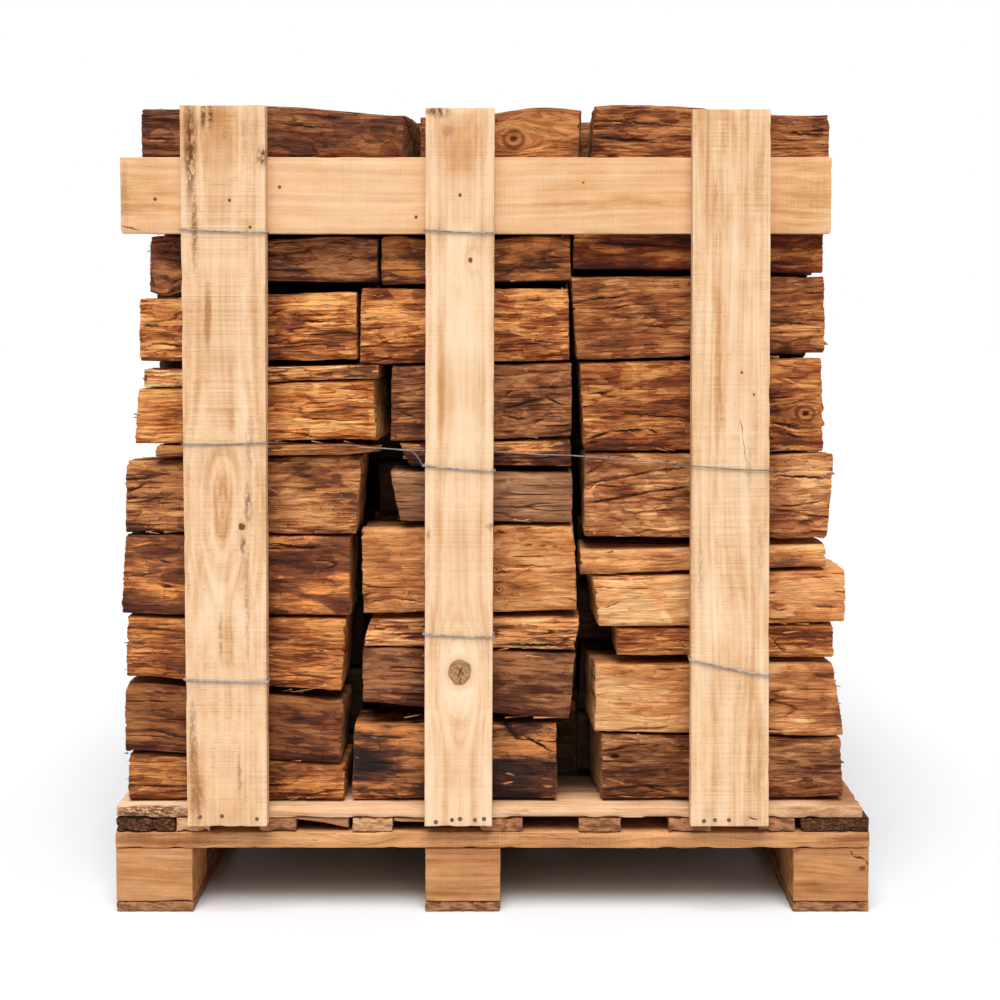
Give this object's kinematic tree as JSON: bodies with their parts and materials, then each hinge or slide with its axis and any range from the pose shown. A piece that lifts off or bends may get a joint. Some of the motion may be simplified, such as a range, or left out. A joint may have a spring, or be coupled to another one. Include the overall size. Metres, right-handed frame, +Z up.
{
  "type": "pallet of firewood",
  "caption": "Block pallet with a wired board crate holding three stacked columns of split firewood logs.",
  "frame": {"origin": "on the ground at the middle of the pallet", "axes": "+Z up, -Y is the front that shows the log faces between the uprights, +X to the right of that front"},
  "size_m": [1, 1.0462, 1.065],
  "materials": {
    "pallet_wood": "rough sawn softwood, weathered",
    "crate_board": "fresh sawn pine",
    "log_bark": "bark and weathered split wood",
    "log_split": "fresh split wood",
    "wire": "galvanised soft iron wire"
  },
  "bodies": {
    "root": {"deck_board_1": "pallet_wood", "deck_board_2": "pallet_wood", "deck_board_3": "pallet_wood", "deck_board_4": "pallet_wood", "deck_board_5": "pallet_wood", "deck_board_6": "pallet_wood", "girth_wire": "wire", "log_left_01": "log_split", "log_left_02": "log_bark", "log_left_03": "log_bark", "log_left_04": "log_bark", "log_left_05": "log_bark", "log_left_06": "log_split", "log_left_07": "log_bark", "log_left_08": "log_bark", "log_left_09": "log_bark", "log_left_10": "log_bark", "log_left_11": "log_bark", "log_middle_01": "log_bark", "log_middle_02": "log_bark", "log_middle_03": "log_bark", "log_middle_04": "log_split", "log_middle_05": "log_split", "log_middle_06": "log_bark", "log_middle_07": "log_bark", "log_middle_08": "log_split", "log_middle_09": "log_bark", "log_middle_10": "log_bark", "log_middle_11": "log_bark", "log_right_01": "log_bark", "log_right_02": "log_split", "log_right_03": "log_split", "log_right_04": "log_split", "log_right_05": "log_split", "log_right_06": "log_bark", "log_right_07": "log_bark", "log_right_08": "log_bark", "log_right_09": "log_bark", "log_right_10": "log_bark", "rail_back": "crate_board", "rail_front": "crate_board", "rear_logs_left": "log_bark", "rear_logs_middle": "log_bark", "rear_logs_right": "log_bark", "skid_left": "pallet_wood", "skid_middle": "pallet_wood", "skid_right": "pallet_wood", "slatted_base": "pallet_wood", "tie_left_low": "wire", "tie_left_top": "wire", "tie_middle_half": "wire", "tie_middle_low": "wire", "tie_middle_top": "wire", "tie_right_low": "wire", "upright_back_left": "crate_board", "upright_back_middle": "crate_board", "upright_back_right": "crate_board", "upright_front_left": "crate_board", "upright_front_middle": "crate_board", "upright_front_right": "crate_board"}
  },
  "joints": []
}
